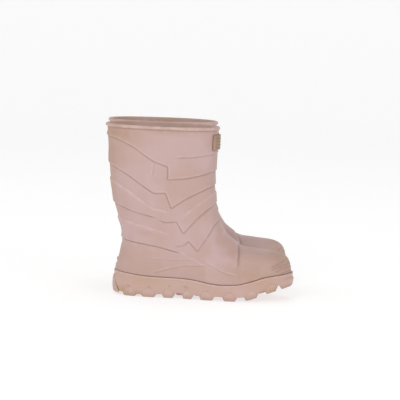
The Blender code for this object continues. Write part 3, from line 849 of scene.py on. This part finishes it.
def add_linings(prefix, side, looks):
    """The binding tape, the pile of the leg and the foot, and the board under the foot."""
    count = AROUND_LINING
    # Binding: a woven tape with rounded edges, folded over the lining's top
    rows = np.linspace(*BINDING_SLICES, BINDING_ROWS)
    back = [skin(k, lining_outside(k), count) for k in rows]
    bow = 0.35 * np.sin(np.linspace(0.0, math.pi, BINDING_ROWS))
    face = [skin(k, lining_inside(k) + 0.15 + b, count) for k, b in zip(rows, bow)]
    points, faces = ring_solid(back + face[::-1])
    look = looks["binding"]
    add_piece(f"{prefix}_binding", points, faces, side, look, ("lining_binding",))
    # Leg lining and foot lining, with a seam between them
    look = looks["pile"]
    back, face = pile_walls(PILE_TOP, LINING_SEAM - SEAM_HALF, LEG_PILE_ROWS, LEG_ROUGH, 11)
    points, faces = ring_solid(back + face[::-1])
    add_piece(f"{prefix}_leg_pile", points, faces, side, look, ("leg_lining",))
    under = 2 * GAP + SHELL_FLOOR
    back, face = pile_walls(LINING_SEAM + SEAM_HALF, LAST - 1.0, FOOT_PILE_ROWS, FOOT_ROUGH, 17)
    back += [foot(lining_outside(LAST), count), foot(lining_outside(LAST), count, under)]
    face += [foot(lining_inside(LAST), count), foot(lining_inside(LAST), count, under)]
    points, faces = ring_solid(back + face[::-1])
    add_piece(f"{prefix}_foot_pile", points, faces, side, look, ("foot_lining",))
    # Board under the foot
    inset = lining_inside(LAST) + GAP
    loops = [foot(inset, count, under), foot(inset, count, under + LINING_FLOOR)]
    points = np.concatenate(loops)
    faces = tube_faces(2, count).tolist() + cap_faces(0, count) + cap_faces(count, count)
    add_piece(f"{prefix}_lining_board", points, faces, side, look, ("lining_sole",))


def add_insole(prefix, side, look):
    """The loose felt insole."""
    count = AROUND_LINING
    inset = lining_inside(LAST) + GAP + INSOLE_PLAY
    low = 3 * GAP + SHELL_FLOOR + LINING_FLOOR
    loops = [foot(inset + drawn, count, low + up) for drawn, up in INSOLE_EDGE]
    base = (len(loops) - 1) * count
    faces = tube_faces(len(loops), count).tolist() + cap_faces(0, count)
    faces += strip_faces(base, count, INSOLE_STRIPS)
    # The top is a fine grid of strips, slightly cupped at the heel and uneven like needled felt
    strips, s, _, _ = strips_inside(loops[-1], INSOLE_STRIPS)
    middle = np.sin(math.pi * s)[None, :]
    heel = 1.0 - rise(40.0, 90.0, strips[..., 0])
    strips[..., 2] += -INSOLE_DISH * heel * middle**2 + 0.08 * ripple(strips, 3.0, 23)
    points = np.concatenate([*loops, strips.reshape(-1, 3)])
    insole = add_piece(f"{prefix}_insole_felt", points, faces, side, look, ("insole",))


# Materials


class Look:
    """A node material that is built step by step around one Principled shader."""

    def __init__(self, name, roughness, specular=0.35, sheen=0.0):
        self.material = bpy.data.materials.new(name)
        self.material.use_nodes = True
        self.tree = self.material.node_tree
        self.shader = self.tree.nodes["Principled BSDF"]
        self.shader.inputs["Roughness"].default_value = roughness
        self.shader.inputs["Specular IOR Level"].default_value = specular
        self.shader.inputs["Sheen Weight"].default_value = sheen
        self.shader.inputs["Sheen Roughness"].default_value = 0.5
        coordinates = self.tree.nodes.new("ShaderNodeTexCoord")
        self.where = coordinates.outputs["Object"]
        self.height = None

    def link(self, source, target):
        self.tree.links.new(source, target)

    def noise(self, scale, detail=3.0, rough=0.55, stretch=None):
        node = self.tree.nodes.new("ShaderNodeTexNoise")
        node.inputs["Scale"].default_value = scale
        node.inputs["Detail"].default_value = detail
        node.inputs["Roughness"].default_value = rough
        source = self.where
        if stretch:
            mapping = self.tree.nodes.new("ShaderNodeMapping")
            mapping.inputs["Scale"].default_value = stretch
            self.link(source, mapping.inputs["Vector"])
            source = mapping.outputs["Vector"]
        self.link(source, node.inputs["Vector"])
        return node.outputs["Fac"]

    def mark(self, name):
        node = self.tree.nodes.new("ShaderNodeAttribute")
        node.attribute_name = name
        return node.outputs["Fac"]

    def math(self, operation, a, b):
        node = self.tree.nodes.new("ShaderNodeMath")
        node.operation = operation
        for i, value in enumerate((a, b)):
            if isinstance(value, (int, float)):
                node.inputs[i].default_value = value
            else:
                self.link(value, node.inputs[i])
        return node.outputs[0]

    def remap(self, value, low, high, to_low=0.0, to_high=1.0):
        node = self.tree.nodes.new("ShaderNodeMapRange")
        node.interpolation_type = "SMOOTHSTEP"
        for name, number in zip(("From Min", "From Max", "To Min", "To Max"), (low, high, to_low, to_high)):
            node.inputs[name].default_value = number
        self.link(value, node.inputs["Value"])
        return node.outputs["Result"]

    def mix(self, factor, a, b, blend="MIX"):
        node = self.tree.nodes.new("ShaderNodeMix")
        node.data_type = "RGBA"
        node.blend_type = blend
        self.link(factor, node.inputs["Factor"])
        for name, value in (("A", a), ("B", b)):
            socket = [i for i in node.inputs if i.name == name and i.type == "RGBA"][0]
            if isinstance(value, tuple):
                socket.default_value = (*value, 1.0)
            else:
                self.link(value, socket)
        return [o for o in node.outputs if o.type == "RGBA"][0]

    def bump(self, height, strength, distance):
        node = self.tree.nodes.new("ShaderNodeBump")
        node.inputs["Strength"].default_value = strength
        node.inputs["Distance"].default_value = distance
        self.link(height, node.inputs["Height"])
        if self.height is not None:
            self.link(self.height, node.inputs["Normal"])
        self.height = node.outputs["Normal"]

    def done(self, colour, roughness=None):
        self.link(colour, self.shader.inputs["Base Color"])
        if roughness is not None:
            self.link(roughness, self.shader.inputs["Roughness"])
        if self.height is not None:
            self.link(self.height, self.shader.inputs["Normal"])
        return self.material


def moulded_look(name, plain, warm, cool, stain_and_shade, dirt_and_shade, painted_highlight):
    """Soft foamed rubber: blotchy colour, stains and painted shade from spots, painted shade in the creases,
    painted highlights on the edges, dark specks and a fine skin.
    """
    look = Look(name, 0.55)
    blotch = look.remap(look.noise(17.0, 3.0), 0.36, 0.66)
    colour = look.mix(blotch, plain, warm)
    patch = look.remap(look.noise(26.0, 2.0, 0.5, (1.0, 1.3, 0.8)), 0.52, 0.72, 0.0, 0.75)
    colour = look.mix(patch, colour, cool)
    spread = look.remap(look.noise(48.0, 4.0, 0.65), 0.30, 0.62, 0.45, 1.0)
    # Stains, and painted shade where the spots stand for it
    colour = look.mix(look.math("MULTIPLY", look.mark("stain_and_shade"), spread), colour, stain_and_shade)
    highlight_spread = look.remap(look.noise(120.0, 3.0), 0.35, 0.7, 0.15, 0.6)
    # Painted highlight on the edges
    colour = look.mix(look.math("MULTIPLY", look.mark("painted_highlight"), highlight_spread), colour, painted_highlight)
    shade_spread = look.remap(look.noise(75.0, 3.0), 0.25, 0.65, 0.55, 0.95)
    # Painted shade in the creases and recesses
    colour = look.mix(look.math("MULTIPLY", look.mark("painted_shade"), shade_spread), colour, dirt_and_shade)
    # Dark specks of dirt
    specks = look.remap(look.noise(520.0, 2.0, 0.6), 0.69, 0.75, 0.0, 0.4)
    colour = look.mix(specks, colour, dirt_and_shade)
    look.bump(look.noise(1500.0, 2.0), 0.12, 0.00012)
    look.bump(look.noise(260.0, 3.0), 0.10, 0.0003)
    look.bump(look.noise(42.0, 2.0), 0.10, 0.0012)
    return look.done(colour, look.remap(look.noise(60.0, 3.0), 0.3, 0.7, 0.48, 0.62))


def pile_look(name, light, dark):
    """Matted pile: clumps of lighter and darker fibres."""
    look = Look(name, 0.95, 0.1, 0.35)
    clumps = look.remap(look.noise(420.0, 4.0, 0.7), 0.35, 0.68)
    colour = look.mix(clumps, dark, light)
    matted = look.remap(look.noise(38.0, 3.0), 0.45, 0.75, 0.0, 0.5)
    colour = look.mix(matted, colour, dark)
    look.bump(look.noise(900.0, 4.0, 0.7), 0.9, 0.0008)
    look.bump(look.noise(330.0, 3.0, 0.6), 0.7, 0.0015)
    return look.done(colour)


def woven_look(name, light, dark, pitch):
    """A plain weave by two crossed bands of waves in each direction round the boot."""
    look = Look(name, 0.9, 0.15, 0.3)
    heights = []
    for axis in ("X", "Z"):
        wave = look.tree.nodes.new("ShaderNodeTexWave")
        wave.wave_type = "BANDS"
        wave.bands_direction = axis
        wave.inputs["Scale"].default_value = 1.0 / pitch
        wave.inputs["Distortion"].default_value = 0.6
        look.link(look.where, wave.inputs["Vector"])
        heights.append(wave.outputs["Fac"])
    weave = look.math("MAXIMUM", heights[0], heights[1])
    colour = look.mix(look.remap(weave, 0.2, 0.9), dark, light)
    faded = look.remap(look.noise(60.0, 3.0), 0.4, 0.7, 0.0, 0.4)
    colour = look.mix(faded, colour, light)
    look.bump(weave, 0.8, 0.0005)
    look.bump(look.noise(1300.0, 2.0), 0.4, 0.0002)
    return look.done(colour)


def felt_look(name, light, dark):
    """Needled felt: fibres that cross both ways, darker where it is trodden."""
    look = Look(name, 0.97, 0.08, 0.25)
    fibres = look.noise(800.0, 5.0, 0.75, (1.0, 0.35, 1.0))
    crossed = look.noise(700.0, 5.0, 0.75, (0.35, 1.0, 1.0))
    mat = look.math("MULTIPLY", fibres, crossed)
    colour = look.mix(look.remap(mat, 0.15, 0.4), dark, light)
    tread = look.remap(look.noise(30.0, 2.0), 0.45, 0.7, 0.0, 0.5)
    colour = look.mix(tread, colour, dark)
    look.bump(mat, 0.8, 0.0006)
    return look.done(colour)


def add_stage():
    """A white floor that curves up into a wall all round, so that no horizon shows from any side."""
    profile = [(0.0, 0.0)]
    for step in range(STAGE_STEPS + 1):
        turn = math.radians(90.0 * step / STAGE_STEPS)
        profile.append((STAGE_FLAT + STAGE_BEND * math.sin(turn), STAGE_BEND * (1.0 - math.cos(turn))))
    profile.append((STAGE_FLAT + STAGE_BEND, STAGE_WALL))
    sides = STAGE_SIDES
    points = [(0.0, 0.0, -STAGE_DROP)]
    for radius, height in profile[1:]:
        for i in range(sides):
            turn = 2 * math.pi * i / sides
            points.append((radius * math.cos(turn), radius * math.sin(turn), height - STAGE_DROP))
    faces = [[0, 1 + i, 1 + (i + 1) % sides] for i in range(sides)]
    for ring in range(len(profile) - 2):
        start = 1 + ring * sides
        for i in range(sides):
            j = (i + 1) % sides
            faces.append([start + i, start + sides + i, start + sides + j, start + j])
    mesh = bpy.data.meshes.new("floor")
    mesh.from_pydata(points, [], faces)
    mesh.shade_smooth()
    floor = bpy.data.objects.new("floor", mesh)
    bpy.context.scene.collection.objects.link(floor)
    paint = bpy.data.materials.new("floor_paint")
    paint.use_nodes = True
    shader = paint.node_tree.nodes["Principled BSDF"]
    shader.inputs["Base Color"].default_value = (FLOOR_GREY, FLOOR_GREY, FLOOR_GREY, 1.0)
    shader.inputs["Roughness"].default_value = 0.95
    shader.inputs["Specular IOR Level"].default_value = 0.0
    shader.inputs["Emission Color"].default_value = (1.0, 1.0, 1.0, 1.0)
    shader.inputs["Emission Strength"].default_value = FLOOR_GLOW
    mesh.materials.append(paint)
    world = bpy.data.worlds.new("studio")
    world.use_nodes = True
    background = world.node_tree.nodes["Background"]
    background.inputs["Color"].default_value = (1.0, 1.0, 1.0, 1.0)
    background.inputs["Strength"].default_value = WORLD_GLOW
    bpy.context.scene.world = world


def add_light(name, where, size, power):
    """A square area light aimed at the boots."""
    data = bpy.data.lights.new(name, "AREA")
    data.shape = "SQUARE"
    data.size = size
    data.energy = power
    light = bpy.data.objects.new(name, data)
    bpy.context.scene.collection.objects.link(light)
    light.location = where
    away = Vector(where) - Vector(LIGHTS_AIM)
    light.rotation_euler = away.to_track_quat("Z", "Y").to_euler()


def add_camera():
    """The photo's camera: it looks along +y, pitched down and rolled a little."""
    pitch, roll = math.radians(CAMERA_PITCH), math.radians(CAMERA_ROLL)
    right = np.array((1.0, 0.0, 0.0))
    ahead = np.array((0.0, math.cos(pitch), -math.sin(pitch)))
    up = np.cross(right, ahead)
    across = math.cos(roll) * right + math.sin(roll) * up
    upright = -math.sin(roll) * right + math.cos(roll) * up
    data = bpy.data.cameras.new("camera")
    data.sensor_width = 36.0
    data.lens = CAMERA_LENS
    data.clip_end = 100.0
    camera = bpy.data.objects.new("camera", data)
    bpy.context.scene.collection.objects.link(camera)
    stance = np.eye(4)
    stance[:3, :3] = np.column_stack([across, upright, -ahead])
    stance[:3, 3] = CAMERA_AT
    camera.matrix_world = Matrix(stance.tolist())
    bpy.context.scene.camera = camera


looks = {
    "upper": moulded_look(
        "moulded_upper", (0.510, 0.355, 0.338), (0.485, 0.325, 0.288), (0.550, 0.385, 0.392),
        (0.415, 0.268, 0.190), (0.290, 0.180, 0.160), (0.670, 0.510, 0.480),
    ),
    "sole": moulded_look(
        "moulded_sole", (0.515, 0.350, 0.302), (0.500, 0.332, 0.272), (0.545, 0.365, 0.337),
        (0.440, 0.280, 0.160), (0.280, 0.170, 0.140), (0.640, 0.460, 0.410),
    ),
    "bumper": moulded_look(
        "heel_bumper", (0.500, 0.355, 0.310), (0.490, 0.345, 0.285), (0.485, 0.360, 0.330),
        (0.400, 0.270, 0.170), (0.260, 0.170, 0.140), (0.600, 0.470, 0.425),
    ),
    "plate": moulded_look(
        "front_plate", (0.365, 0.235, 0.175), (0.345, 0.215, 0.145), (0.380, 0.250, 0.200),
        (0.300, 0.180, 0.110), (0.170, 0.100, 0.070), (0.430, 0.300, 0.240),
    ),
    "pile": pile_look("pile_lining", (0.56, 0.40, 0.345), (0.38, 0.25, 0.21)),
    "binding": woven_look("woven_binding", (0.52, 0.37, 0.32), (0.33, 0.22, 0.19), 0.0018),
    "felt": felt_look("felt_insole", (0.50, 0.44, 0.40), (0.33, 0.28, 0.25)),
}

add_camera()
add_stage()
for name, where, size, power in LIGHTS:
    add_light(name, where, size, power)
bpy.context.scene.view_settings.view_transform = "Standard"

for prefix, side in (("right", -1), ("left", 1)):
    add_upper(prefix, side, looks["upper"])
    add_outsole(prefix, side, looks["sole"])
    add_bumper(prefix, side, looks["bumper"])
    add_plate(prefix, side, looks["plate"])
    add_linings(prefix, side, looks)
    add_insole(prefix, side, looks["felt"])
